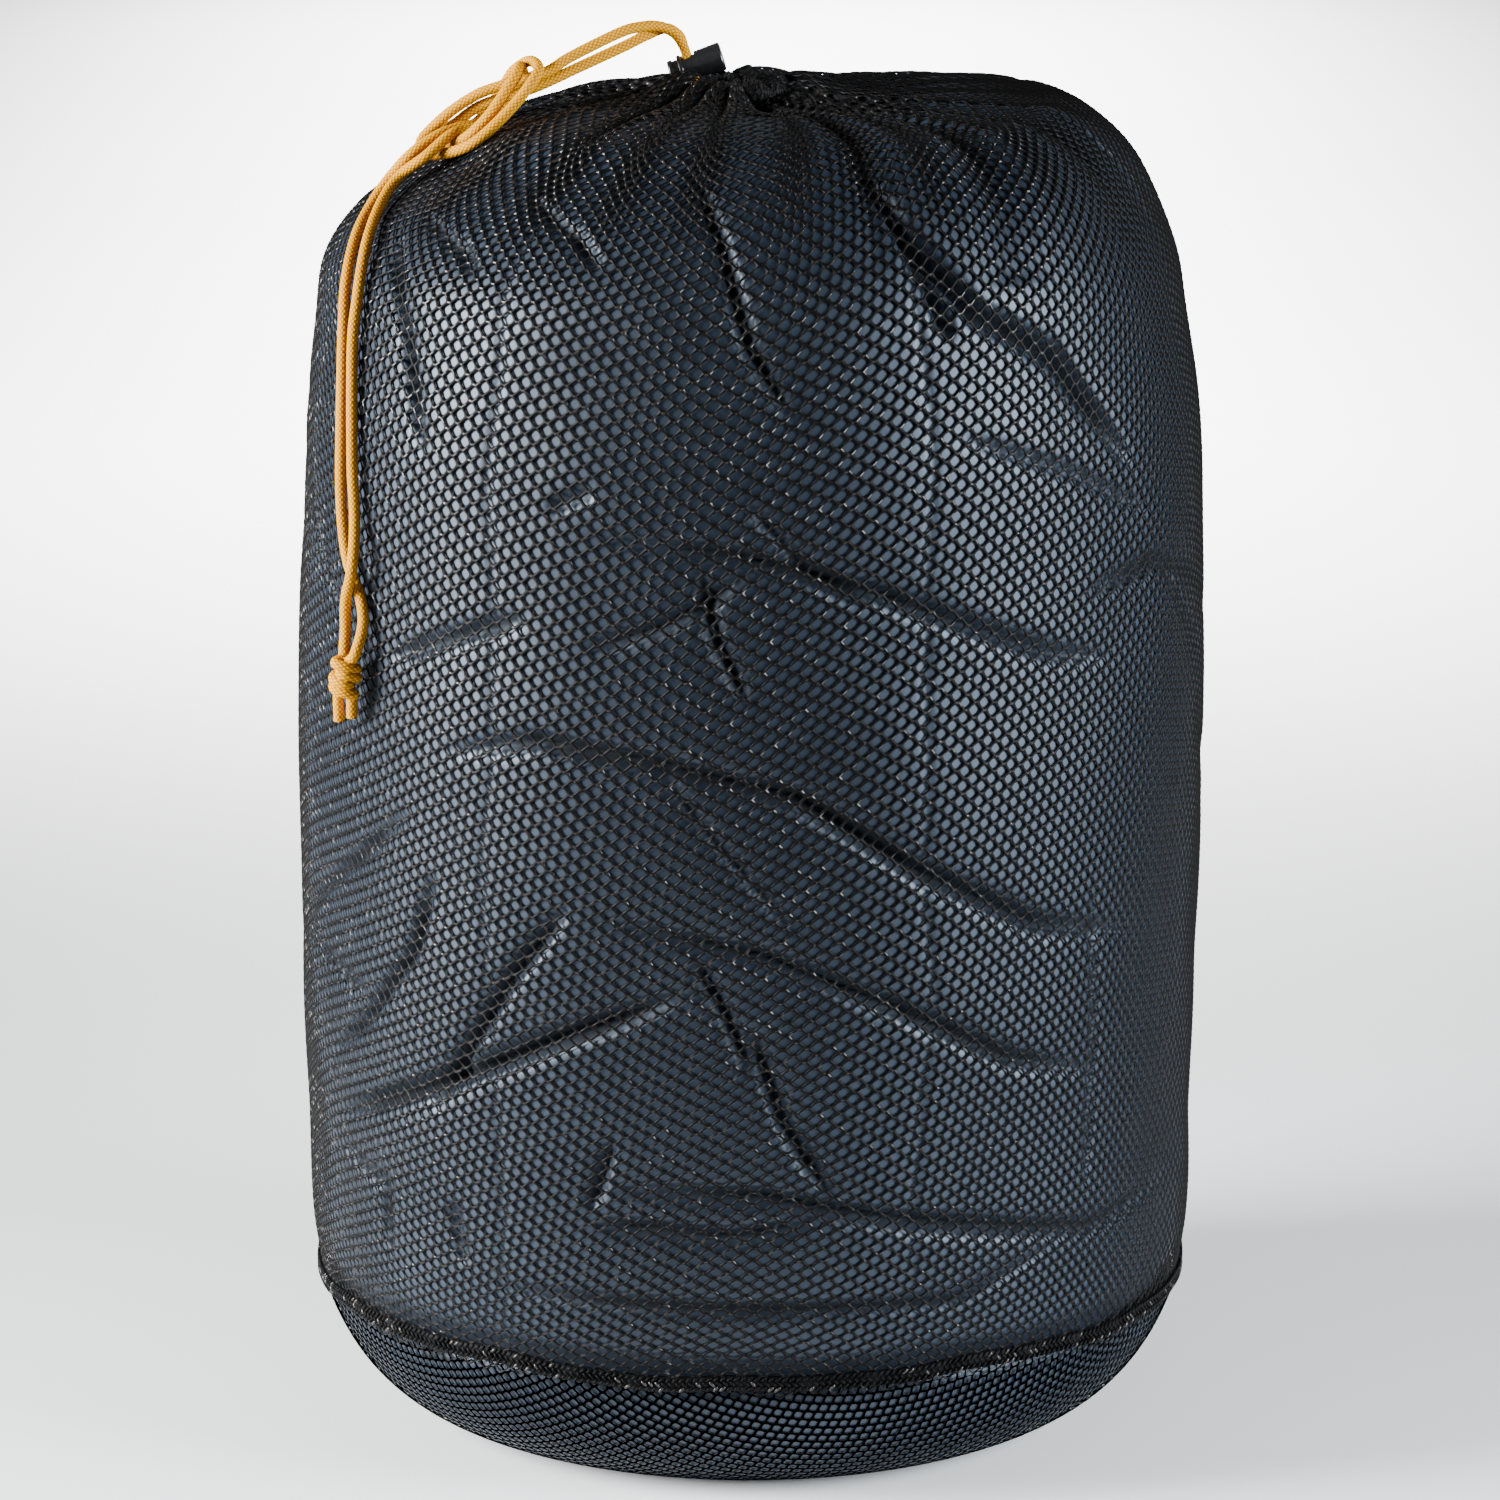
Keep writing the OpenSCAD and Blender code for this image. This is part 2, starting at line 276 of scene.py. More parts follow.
def build(name, points, faces, materials, braid_uv=None, material_of=None, bend=None):
    """A smooth mesh from points in millimetres and faces that all have the same number of corners.
    material_of gives each face's material, and bend gives each point's own normal."""
    points = np.asarray(points, float) * MM
    faces = np.asarray(faces, np.int64)
    mesh = bpy.data.meshes.new(name)
    mesh.vertices.add(len(points))
    mesh.vertices.foreach_set("co", points.ravel())
    mesh.loops.add(faces.size)
    mesh.loops.foreach_set("vertex_index", faces.ravel())
    mesh.polygons.add(len(faces))
    mesh.polygons.foreach_set("loop_start", np.arange(len(faces)) * faces.shape[1])
    if material_of is not None:
        mesh.polygons.foreach_set("material_index", material_of)
    mesh.update(calc_edges=True)
    mesh.polygons.foreach_set("use_smooth", np.ones(len(faces), bool))
    if braid_uv is not None:
        layer = mesh.uv_layers.new(name="braid")
        layer.data.foreach_set("uv", np.asarray(braid_uv, float).ravel())
    for material in materials:
        mesh.materials.append(material)
    mesh.validate()
    if bend is not None:
        mesh.normals_split_custom_set_from_vertices(bend)
    obj = bpy.data.objects.new(name, mesh)
    bpy.context.collection.objects.link(obj)
    return obj


def grid_faces(rows, columns, wrap=True, wrap_rows=False):
    """Quads of a grid of points stored row by row. wrap joins the last column to the first."""
    i = np.arange(rows if wrap_rows else rows - 1)[:, None]
    j = np.arange(columns if wrap else columns - 1)[None]
    above = (i + 1) % rows * columns
    k = (j + 1) % columns
    return np.stack([i * columns + j, i * columns + k, above + k, above + j], -1).reshape(-1, 4)


def polar(radius, angle, z):
    """Points at a radius and angle round the sack's axis, and at a height."""
    return np.stack(np.broadcast_arrays(radius * np.cos(angle), radius * np.sin(angle), z), -1)


def unit(vectors):
    """The vectors, made one long."""
    return vectors / np.maximum(np.linalg.norm(vectors, axis=-1, keepdims=True), 1e-9)


def spline(points, steps):
    """A Catmull-Rom curve through the points, with so many steps from one to the next."""
    p = np.asarray(points, float)
    p = np.vstack([2 * p[0] - p[1], p, 2 * p[-1] - p[-2]])
    t = np.linspace(0, 1, steps, endpoint=False)[:, None]
    curve = [0.5 * (2 * b + (c - a) * t + (2 * a - 5 * b + 4 * c - d) * t ** 2
                    + (3 * b - a - 3 * c + d) * t ** 3)
             for a, b, c, d in zip(p, p[1:], p[2:], p[3:])]
    return np.vstack(curve + [p[-2:-1]])


def smooth_route(points, step):
    """A smooth curve through the points, cut into even steps, and the distance along it."""
    curve = spline(points, 12)
    length = np.concatenate([[0], np.cumsum(np.linalg.norm(np.diff(curve, axis=0), axis=1))])
    at = np.linspace(0, length[-1], max(int(round(length[-1] / step)), 2) + 1)
    return np.stack([np.interp(at, length, curve[:, i]) for i in range(3)], -1), at


def carried_frames(route):
    """Two sideways directions at each point of a route, carried along it without twist."""
    along = unit(np.gradient(route, axis=0))
    u = np.empty_like(route)
    v = np.array([0.0, 1.0, 0.0])
    for i, t in enumerate(along):
        u[i] = v = unit(v - (v @ t) * t)
    return u, np.cross(along, u)


def tube_points(route, across_u, across_w, sides):
    """Rings of points round a route, with half widths across_u and across_w in its two directions."""
    u, w = carried_frames(route)
    a = np.arange(sides) * math.tau / sides
    return (route[:, None] + (across_u * np.cos(a))[..., None] * u[:, None]
            + (across_w * np.sin(a))[..., None] * w[:, None])


CORD_R = 2.3
BRAID_SIDES = 32  # points round the cord
BRAID_STEP = 0.7  # distance between rings of points
BRAID_RELIEF = 0.13  # how far the plaits stand out


def braided(name, points, widths=((0, CORD_R, CORD_R),), core=False):
    """A braided cord along a route. widths gives (distance, across y, across x) where it is squeezed,
    and core says that its last end is cut and shows the cord's core."""
    route, along = smooth_route(points, BRAID_STEP)
    a = np.arange(BRAID_SIDES) * math.tau / BRAID_SIDES
    turn = along[:, None] * math.tau / BRAID_PITCH
    plait = np.abs(np.sin(BRAID_LOBES * a + turn) * np.sin(BRAID_LOBES * a - turn))
    relief = BRAID_RELIEF * (plait - 0.75)
    at, *both = np.transpose(widths)
    ru, rw = (np.interp(along, at, wide)[:, None] + relief for wide in both)
    co = tube_points(route, ru, rw, BRAID_SIDES)
    quads = grid_faces(len(route), BRAID_SIDES)
    i, j = np.divmod(np.arange(len(quads)), BRAID_SIDES)
    u = along / BRAID_PITCH
    uv = np.stack([np.stack([u[i + right], (j + up) / BRAID_SIDES], -1)
                   for right, up in ((0, 0), (0, 1), (1, 1), (1, 0))], 1)
    obj = build(name, co.reshape(-1, 3), quads, [BRAID], uv)
    close_ends(obj, BRAID_SIDES, core)
    return obj, route


def close_ends(obj, sides, core):
    """Fills a tube's two open ends, the last with the cord's white core if it is a cut end."""
    bm = bmesh.new()
    bm.from_mesh(obj.data)
    bm.verts.ensure_lookup_table()
    n = len(bm.verts)
    bm.faces.new([bm.verts[i] for i in range(sides)][::-1])
    end = bm.faces.new([bm.verts[i] for i in range(n - sides, n)])
    if core:
        obj.data.materials.append(CORE)
        bmesh.ops.inset_region(bm, faces=[end], thickness=0.6 * MM, depth=-0.25 * MM)
        end.material_index = 1
    bm.normal_update()
    bm.to_mesh(obj.data)
    bm.free()


# ---------------- cords

LOCK_AT = np.array([-24.2, -4, 570])
LOCK_TILT = math.radians(18)
BARREL_WAY = np.array([math.cos(LOCK_TILT), 0, math.sin(LOCK_TILT)])
CORD_WAY = np.array([-math.sin(LOCK_TILT), 0, math.cos(LOCK_TILT)])
KNOT_AT = np.array([-163.5, -112.5, 336.5])

# Routes of the two strands from the lock to the end knot, as in part.scad
LEFT_ROUTE = [
    (-31, -7.5, 584), (-38, -10, 587), (-46, -14, 587), (-54, -18, 585), (-73, -27, 576.5),
    (-82.5, -31.5, 571), (-91, -34.5, 568.5), (-107, -33, 563.5), (-115, -31.5, 559.5),
    (-123.5, -30, 553.5), (-130, -28.5, 547.5), (-134.5, -29, 542.5), (-134.5, -32.5, 538.5),
    (-129.5, -38, 537.5), (-121.5, -44.5, 539.5), (-113, -50, 543.5), (-104.5, -51, 550.5),
    (-96, -49, 559), (-89, -46.5, 567.5), (-86, -40, 573), (-90, -30, 575), (-97, -22, 570),
    (-102, -19.5, 562), (-107.5, -20.5, 554.5), (-112.5, -26, 549), (-119, -32.5, 548),
    (-127.5, -38, 545.5), (-138, -41, 538.5), (-147.5, -39, 528), (-154.5, -44, 518),
    (-159.5, -58, 508.5), (-162.5, -74, 496), (-164, -82, 479), (-165, -95, 430),
    (-165, -97.5, 402), (-162.5, -103, 382), (-157, -111, 367.5), (-156, -114, 357),
    (-159, -117, 346)]
RIGHT_ROUTE = [
    (-29.5, -2, 582.5), (-35, -3.5, 585.5), (-43, -8, 583), (-52, -13, 579), (-71.5, -23, 571),
    (-81, -28, 567), (-90, -30.5, 563.5), (-105.5, -30, 558.5), (-113, -28, 555),
    (-119.5, -26, 550), (-126, -24.5, 545.5), (-130, -26.5, 541), (-129.5, -31.5, 538.5),
    (-124.5, -36, 540), (-119, -41.5, 543), (-112.5, -46, 548), (-105.5, -47.5, 555.5),
    (-99.5, -46.5, 564), (-95, -42, 570.5), (-93.5, -33, 573), (-93, -24.5, 567),
    (-97, -20.5, 560), (-102, -21.5, 554.5), (-106.5, -27, 550.5), (-113.5, -33, 547.5),
    (-121.5, -41.5, 546.5), (-132, -46, 538), (-143, -43, 529.5), (-149, -50, 521.5),
    (-153, -67, 512.5), (-155.5, -81, 502.5), (-158, -90, 485.5), (-160, -93, 466),
    (-160, -104, 423), (-159, -109, 399), (-160, -115, 380.5), (-163, -109.5, 366.5),
    (-163.5, -107.5, 354), (-164, -110, 345)]

# The strands in the lock, in its own frame
LOCK_PAIR_X = -0.5  # place along the barrel
LOCK_PAIR_Y = 1.775  # half the distance between them
LOCK_FROM, LOCK_TO = -11.0, 8.6  # stretch that is squeezed
SQUEEZED = (1.7, 2.0)  # its half widths


def in_lock(x, y, z):
    """A point of the lock's own frame: X along its barrel, Z along the cords."""
    return LOCK_AT + x * BARREL_WAY + np.array([0, y, 0]) + z * CORD_WAY


def strand(name, route, y, *nodes):
    """One strand, from the gathers below the lock to the middle of the end knot."""
    squeezed = [in_lock(LOCK_PAIR_X, y, z) for z in (LOCK_FROM, -4, 3, LOCK_TO)]
    last = KNOT_AT + (np.array(route[-1]) - KNOT_AT) * (0.4, 0.4, 0.6)
    full = LOCK_TO - LOCK_FROM
    widths = [(0, *SQUEEZED), (full, *SQUEEZED), (full + 5, 2.25, 2.3), (full + 9, CORD_R, CORD_R)]
    cord, path = braided(name, squeezed + list(route) + [last], widths)
    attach(cord, "sack")
    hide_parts(*nodes)
    length = np.linalg.norm(np.diff(path, axis=0), axis=1).sum()
    return cord, path, length * MM


left, left_path, left_length = strand("left_strand", LEFT_ROUTE, -LOCK_PAIR_Y,
                                      "drawcord_left_strand", "drawcord_in_lock")
right, right_path, right_length = strand("right_strand", RIGHT_ROUTE, LOCK_PAIR_Y,
                                         "drawcord_right_strand")

KNOT_WRAP_R = 4.6
KNOT_TURNS = 1.55
KNOT_TOP = 6.4
KNOT_PITCH = 7.2  # a wrap goes down by this much in one turn
KNOT_DROP = 4.3  # the second wrap starts this much below the first
TAILS = ((-3.0, 3.0, 13.0), (2.4, 0.0, 11.0))  # place across the knot, and length below it


def end_knot():
    """The tight overhand knot: both cords wind round the pair before they come out below."""
    tubes = []
    for k in range(2):
        a = np.linspace(0, KNOT_TURNS * math.tau, 22)
        start = math.radians(150 + 40 * k)
        z = KNOT_TOP - k * KNOT_DROP - a / math.tau * KNOT_PITCH
        tight = np.clip(np.minimum(a, a[-1] - a) / 1.1, 0.35, 1)
        spiral = np.stack([KNOT_WRAP_R * tight * np.cos(start + a),
                           0.92 * KNOT_WRAP_R * tight * np.sin(start + a), z], -1)
        tubes.append(braided(f"knot_wrap_{k}", spiral + KNOT_AT)[0])
    core, _ = braided("knot_middle", [KNOT_AT + p for p in ((1, 0, 7.5), (0, 1.5, 0), (-1, 0, -7))])
    return join("end_knot_wraps", tubes + [core])


def join(name, objs):
    """Makes one object of several, with the first one's place in the scene."""
    bpy.ops.object.select_all(action="DESELECT")
    for obj in objs:
        obj.select_set(True)
    bpy.context.view_layer.objects.active = objs[0]
    bpy.ops.object.join()
    objs[0].name = name
    objs[0].data.name = name
    return objs[0]


def cord_tails():
    """The two cut ends below the knot."""
    tubes = []
    for k, (x, y, length) in enumerate(TAILS):
        top = KNOT_AT + np.array([0.6 * x, 0.6 * y, -4])
        route = [top, KNOT_AT + np.array([x, y, -9]), KNOT_AT + np.array([x, y + 1, -7 - length])]
        tubes.append(braided(f"tail_{k}", route, core=True)[0])
    return join("cord_tails", tubes)


knot = end_knot()
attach(knot, "sack")
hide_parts("end_knot")
tails = cord_tails()
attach(tails, "sack")
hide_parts("cord_ends")


# ---------------- the sack's own surface

# Outline of the sack: radius, height, rise towards +X, shift along X. It follows part.scad, but
# narrows a little more towards the base seam
REST_R = 128
BASE_CORNER = (170, 8)
SEAM_R = 184.5
SEAM_Z = 60
MOUTH_X = -6
SIDE = np.array([
    (SEAM_R, SEAM_Z + 3, 0, 0), (187.6, 84, 0, 0), (189.6, 118, 0, 0), (191, 180, 0, 0),
    (190.5, 300, 0, 0), (189, 380, 0, 0), (187, 430, 0, 0), (182, 466, 0, 0), (177, 494, 0.012, 0),
    (162, 521, 0.055, 0), (145, 536.5, 0.085, 0), (129, 546, 0.095, 0), (115, 552, 0.06, 0),
    (96, 556, 0.045, -1), (70, 559, 0.03, -3), (40, 560.5, 0.01, -5), (22, 560, 0, MOUTH_X)])
BASE_ROWS = 40  # rows of the outline's table on the flat base, and as many on its round edge


def outline_table():
    """The outline as a fine table of rows, with the cloth length from the middle of the base."""
    t = np.linspace(0, 1, BASE_ROWS)[:, None]
    ends = np.array([(REST_R, 0, 0, 0), (*BASE_CORNER, 0, 0), (SEAM_R, SEAM_Z - 3, 0, 0)])
    flat = np.linspace(0, 1, BASE_ROWS, endpoint=False)[:, None] * ends[0]
    edge = (1 - t) ** 2 * ends[0] + 2 * t * (1 - t) * ends[1] + t ** 2 * ends[2]
    rows = np.vstack([flat, edge, spline(SIDE, 16)])
    cloth = np.concatenate([[0], np.cumsum(np.hypot(*np.diff(rows[:, :2], axis=0).T))])
    return rows, cloth


ROWS, CLOTH = outline_table()
CLOTH_END = CLOTH[-1]
EDGE = slice(BASE_ROWS, 2 * BASE_ROWS)
SEAM_S = np.interp(SEAM_Z, ROWS[EDGE, 1], CLOTH[EDGE])


def outline(cloth, column=0):
    """The outline's radius, or another column of its table, at a cloth length."""
    return np.interp(cloth, CLOTH, ROWS[:, column])


def at_height(z):
    """Cloth length at a height on the side. The top is nearly flat, so it is capped there."""
    up = np.maximum.accumulate(ROWS[BASE_ROWS:, 1])
    return np.interp(z, up, CLOTH[BASE_ROWS:])


AROUND = 640  # points round the sack
BACK = math.radians(90)
ANGLES = np.arange(AROUND) * math.tau / AROUND
LEVELS = np.concatenate([np.linspace(0, REST_R - 12, 12, endpoint=False),
                         np.linspace(REST_R - 12, CLOTH_END, 350)])


def clean_surface(angle, cloth):
    """Points and normals of the plain surface at matching arrays of angle and cloth length."""
    r, z, rise, shift = (outline(cloth, i) for i in range(4))
    step = 1.5
    dr, dz = (outline(cloth + step, i) - outline(cloth - step, i) for i in range(2))
    size = np.hypot(dr, dz)
    points = polar(r, angle, z + rise * r * np.cos(angle))
    points[..., 0] += shift
    return points, polar(np.where(cloth < 2, 0, dz / size), angle, -dr / size)


def sample(grid, angle, cloth):
    """A grid over ANGLES and LEVELS, read between its points."""
    a = np.mod(angle, math.tau) / math.tau * AROUND
    i = np.floor(a).astype(int)
    b = np.interp(cloth, LEVELS, np.arange(len(LEVELS)))
    j = np.clip(np.floor(b).astype(int), 0, len(LEVELS) - 2)
    f, g = (a - i)[..., None], (b - j)[..., None]
    i0, i1 = i % AROUND, (i + 1) % AROUND
    low = grid[i0, j] * (1 - f) + grid[i1, j] * f
    high = grid[i0, j + 1] * (1 - f) + grid[i1, j + 1] * f
    return low * (1 - g) + high * g


# ---------------- folds of the stuffed bag

GIRTH_R = 190
A_GRID, S_GRID = np.meshgrid(ANGLES, LEVELS, indexing="ij")

# Folds of the front: how deep each is, then (degrees round, height) at points along it
FRONT_FOLDS = [
    (9, [(-99, 545), (-94, 520), (-90, 480), (-84, 450)]),
    (13, [(-73, 548), (-68, 517), (-60, 490), (-48, 470), (-40, 440), (-35, 420)]),
    (8, [(-68, 515), (-66, 500), (-64, 480)]),
    (9, [(-150, 520), (-140, 480), (-134, 430)]),
    (6, [(-128, 540), (-116, 525), (-110, 510)]),
    (6, [(-148, 530), (-133, 515), (-129, 505)]),
    (8, [(-109, 405), (-92, 400), (-76, 385), (-50, 352), (-40, 345)]),
    (6, [(-140, 345), (-128, 360), (-118, 370)]),
    (6, [(-110, 360), (-100, 372), (-90, 392)]),
    (8, [(-96, 395), (-94, 366), (-90, 340)]),
    (10, [(-130, 312), (-116, 322), (-101, 316), (-84, 302), (-70, 272), (-52, 242), (-34, 228)]),
    (8, [(-132, 262), (-136, 225), (-146, 190), (-156, 168)]),
    (8, [(-112, 257), (-120, 225), (-133, 160)]),
    (11, [(-97, 223), (-114, 200), (-130, 175), (-154, 143)]),
    (8, [(-108, 252), (-88, 238), (-72, 215), (-56, 188), (-42, 174)]),
    (8, [(-97, 238), (-93, 215), (-90, 190)]),
    (9, [(-90, 210), (-86, 170), (-80, 138)]),
    (6, [(-107, 160), (-110, 130)]),
    (9, [(-108, 140), (-88, 139), (-68, 124), (-42, 108), (-18, 114)]),
    (7, [(-110, 125), (-92, 122), (-82, 129)]),
    (8, [(-124, 92), (-104, 92), (-84, 92), (-64, 90), (-48, 106)]),
    (7, [(-154, 132), (-142, 124), (-142, 88)]),
    (5, [(-130, 125), (-128, 98)]),
    (5, [(-91, 423), (-83, 393), (-76, 379)]),
    (4, [(-64, 443), (-46, 423), (-31, 400)]),
    (4, [(-115, 415), (-109, 423)]),
    (4, [(-102, 318), (-94, 285), (-84, 246)]),
    (3, [(-43, 255), (-42, 190), (-43, 120)]),
]
FOLD_WIDTH = 1.9  # half width of the sharpest crease
FOLD_SPREAD = 0.07  # a crease is wider by this share of its depth
SAG_REACH = 26  # how far from a crease the cloth sags into it
QUILT_LINES = [-122.5, -68, -14, 41, 96, 150]  # degrees round of the bag's long seams
QUILT_DEPTH, QUILT_WIDTH = 0.7, 2.2


def fold(field, depth, line):
    """Presses one fold into the field: a sharp crease, with cloth that sags into it on one side."""
    angle = np.radians([p[0] for p in line])
    points = np.stack([angle * GIRTH_R, at_height(np.array([p[1] for p in line], float))], -1)
    middle = (angle.min() + angle.max()) / 2
    turn = np.mod(ANGLES - middle + math.pi, math.tau) - math.pi
    near = np.abs(turn) < (angle.max() - angle.min()) / 2 + 0.5
    here = np.stack(np.broadcast_arrays(((turn + middle) * GIRTH_R)[near, None], S_GRID[near]), -1)
    pieces = np.linalg.norm(np.diff(points, axis=0), axis=1)
    start = np.concatenate([[0], np.cumsum(pieces)])
    nearest = np.full(here.shape[:2], 1e9)
    place = np.zeros(nearest.shape)
    side = np.zeros(nearest.shape)
    for p, q, length, before in zip(points, points[1:], pieces, start):
        way = (q - p) / length
        t = np.clip((here - p) @ way, 0, length)
        off = here - p - t[..., None] * way
        gap = np.linalg.norm(off, axis=-1)
        closer = gap < nearest
        nearest = np.where(closer, gap, nearest)
        place = np.where(closer, before + t, place)
        side = np.where(closer, way[0] * off[..., 1] - way[1] * off[..., 0], side)
    share = np.clip(place / start[-1], 0.01, 0.99)
    taper = np.clip(np.sin(math.pi * share) * 1.7, 0, 1)
    crease = np.exp(-(nearest / (FOLD_WIDTH + FOLD_SPREAD * depth)) ** 1.3)
    sag = np.exp(-nearest / SAG_REACH) * np.clip(-side / 4, 0, 1)
    field[near] -= taper * depth * (0.95 * crease + 0.07 * sag)


OTHER_FOLDS = 19
OTHER_FROM, OTHER_OVER = -26, 232  # degrees round at which they start, and that they cover
FOLDS_LOW, FOLDS_HIGH = 78, 545  # heights between which they stay
SHOULDER = 440  # folds above this height are shorter and steeper


def other_folds():
    """Folds of the sides and back: long slanting creases, each with a shorter one that runs into it."""
    rng = np.random.default_rng(41)
    along = np.array([-0.5, -0.2, 0.15, 0.5])
    for k, height in enumerate(rng.permutation(np.linspace(105, 505, OTHER_FOLDS))):
        high = height > SHOULDER
        angle = OTHER_FROM + OTHER_OVER * (k + 0.6 * rng.random()) / OTHER_FOLDS
        steep = rng.uniform(50, 80) if high else rng.uniform(8, 34)
        way = math.radians(steep * rng.choice((-1, 1)))
        length = rng.uniform(100, 210) * (0.5 if high else 1)
        bow = rng.uniform(-0.16, 0.16) * length
        depth = rng.uniform(5, 10)
        a = angle + np.degrees(length * along * math.cos(way) / GIRTH_R)
        z = height + length * along * math.sin(way) + bow * (1 - 4 * along ** 2)
        z = np.clip(z, FOLDS_LOW, FOLDS_HIGH)
        yield depth, list(zip(a, z))
        turn = way + math.radians(rng.choice((-1, 1)) * rng.uniform(22, 42))
        far = 0.45 * length * np.array([1, 0.5, 0.06])
        branch_a = a[1] + np.degrees(far * math.cos(turn) / GIRTH_R)
        branch_z = np.clip(z[1] + far * math.sin(turn), FOLDS_LOW, FOLDS_HIGH)
        yield 0.75 * depth, list(zip(branch_a, branch_z))


def soft_field(size_u, size_s, seed):
    """A smooth random field over the surface, with features of the given size in millimetres."""
    rng = np.random.default_rng(seed)
    rows = 256
    white = rng.standard_normal((AROUND, rows))
    span = CLOTH_END * 1.15
    ku = np.fft.fftfreq(AROUND, math.tau * GIRTH_R / AROUND)[:, None]
    ks = np.fft.fftfreq(rows, span / rows)[None]
    keep = np.exp(-((ku * size_u) ** 2 + (ks * size_s) ** 2) * 1.2)
    field = np.fft.ifft2(np.fft.fft2(white) * keep).real
    field /= field.std()
    at = LEVELS / span * rows
    low = np.floor(at).astype(int)
    f = at - low
    return field[:, low] * (1 - f) + field[:, low + 1] * f


RADIUS = outline(S_GRID)
ON_TOP = S_GRID > at_height(500)
# How much of the relief shows: none on the flat base, little round its edge, and less near the mouth
UP = np.interp(S_GRID, [REST_R, SEAM_S + 20, SEAM_S + 70], [0, 0.35, 1])
TOP = np.where(ON_TOP, 0.35 + 0.65 * np.clip((RADIUS - 30) / 90, 0, 1), 1)


def bag_field():
    """How far the stuffed bag stands out from the plain surface, in millimetres, and how deep in a
    fold each place is, from 0 to 1, which sets how much painted shade the satin gets."""
    smooth = 1.1 * soft_field(150, 220, 3) + 0.3 * soft_field(60, 80, 5)
    h = smooth.copy()
    for depth, line in FRONT_FOLDS + list(other_folds()):
        fold(h, depth, line)
    # The fold depth, which becomes the satin's painted shade mask.
    deep = np.clip((smooth - h - 1.4) / 5.0, 0, 1)
    for line in QUILT_LINES:
        wander = math.radians(line) + 0.012 * soft_field(200, 80, 37)
        off = (np.mod(A_GRID - wander + math.pi, math.tau) - math.pi) * GIRTH_R
        h -= QUILT_DEPTH * np.exp(-(off / QUILT_WIDTH) ** 2)
    h *= UP * TOP
    return h, deep


# Pleats of the gathered top: the creases' degrees round, how deep each is, and how far it reaches out
PLEATS = np.array([
    (-171, 0.9, 90), (-157, 0.7, 80), (-130, 0.9, 100), (-113, 0.6, 60), (-96, 0.6, 70), (-75, 2.4, 55),
    (-62, 1.9, 150), (-51, 1.5, 110), (-41, 2.1, 160), (-32, 1.5, 110), (-22, 1.9, 150), (-11, 1.2, 120),
    (3, 1.1, 110), (17, 0.9, 130), (32, 1.0, 90), (47, 1.1, 120), (63, 0.8, 100), (80, 1.0, 130),
    (97, 1.1, 110), (113, 0.8, 95), (130, 1.0, 120), (147, 1.1, 100), (160, 0.8, 120), (174, 1.0, 110)])
PLEAT_DEPTH = 7.5
LOCK_FRONT = math.radians(217)  # direction of the gathers that stand up in front of the cord lock
PLEAT_AT = np.radians(PLEATS[:, 0])
PLEAT_WIDE = np.diff(np.append(PLEAT_AT, PLEAT_AT[0] + math.tau))


def pleat_place(angle, radius):
    """Which pleat a point is in, how far across it from 0 to 1, and the angle that its crease drifts."""
    drift = 0.0014 * (radius - 20) * np.sin(2 * angle + 0.6)
    turn = np.mod(angle - drift - PLEAT_AT[0], math.tau) + PLEAT_AT[0]
    which = np.clip(np.searchsorted(PLEAT_AT, turn, side="right") - 1, 0, len(PLEATS) - 1)
    return which, (turn - PLEAT_AT[which]) / PLEAT_WIDE[which], drift


def beside_lock(x, y):
    """From 0 under the cord lock to 1 where the gathers are free to stand up."""
    under = np.exp(-((y - LOCK_AT[1]) / 7.5) ** 10)
    return 1 - under * np.clip((-8 - x) / 7, 0, 1) * np.clip((x + 58) / 14, 0, 1)


def pleat_field():
    """Radial pleats of the gathered top, sharpest at the mouth, and the lumps that ring it."""
    which, across, _ = pleat_place(A_GRID, RADIUS)
    nearer = np.where(across < 0.5, which, (which + 1) % len(PLEATS))
    off = np.minimum(across, 1 - across) * PLEAT_WIDE[which] * RADIUS
    deep, reach = PLEATS[nearer, 1], PLEATS[nearer, 2]
    near = np.clip(1 - (RADIUS - 22) / reach, 0, 1) ** 0.7
    calm = beside_lock(RADIUS * np.cos(A_GRID) + MOUTH_X, RADIUS * np.sin(A_GRID))
    guard = np.exp(-((A_GRID - LOCK_FRONT) / 0.35) ** 2)
    near *= 1 - 0.8 * guard * np.exp(-((RADIUS - 24) / 12) ** 2)
    lumps = 5.6 + 1.6 * np.sin(3 * A_GRID + 1.2) + 1.2 * np.sin(7 * A_GRID) + 2.4 * guard
    width = (0.6 + 0.5 * deep) * (1.0 + 0.030 * RADIUS)
    h = lumps * calm * np.exp(-((RADIUS - 25) / 15) ** 2)
    h -= PLEAT_DEPTH * deep * near * np.exp(-(off / width) ** 1.1)
    return np.where(ON_TOP, h, 0)


def blur(grid, times):
    """Smooths a grid that wraps round in its first direction."""
    for _ in range(times):
        grid = 0.25 * np.roll(grid, 1, 0) + 0.5 * grid + 0.25 * np.roll(grid, -1, 0)
        padded = np.pad(grid, ((0, 0), (1, 1)), mode="edge")
        grid = 0.25 * padded[:, :-2] + 0.5 * grid + 0.25 * padded[:, 2:]
    return grid


def slide_max(grid, reach):
    """Largest value within reach steps in both directions. The grid wraps round in its first."""
    best = np.max([np.roll(grid, k, 0) for k in range(-reach, reach + 1)], axis=0)
    padded = np.pad(best, ((0, 0), (reach, reach)), mode="edge")
    return np.max([padded[:, k:k + grid.shape[1]] for k in range(2 * reach + 1)], axis=0)


BAG_UNDER = 0.9  # mean play between the netting and the bag
BRIDGE = 5  # how far the netting bridges a valley, in grid steps
BRIDGED = 0.86  # how taut it bridges it, from 0 to 1

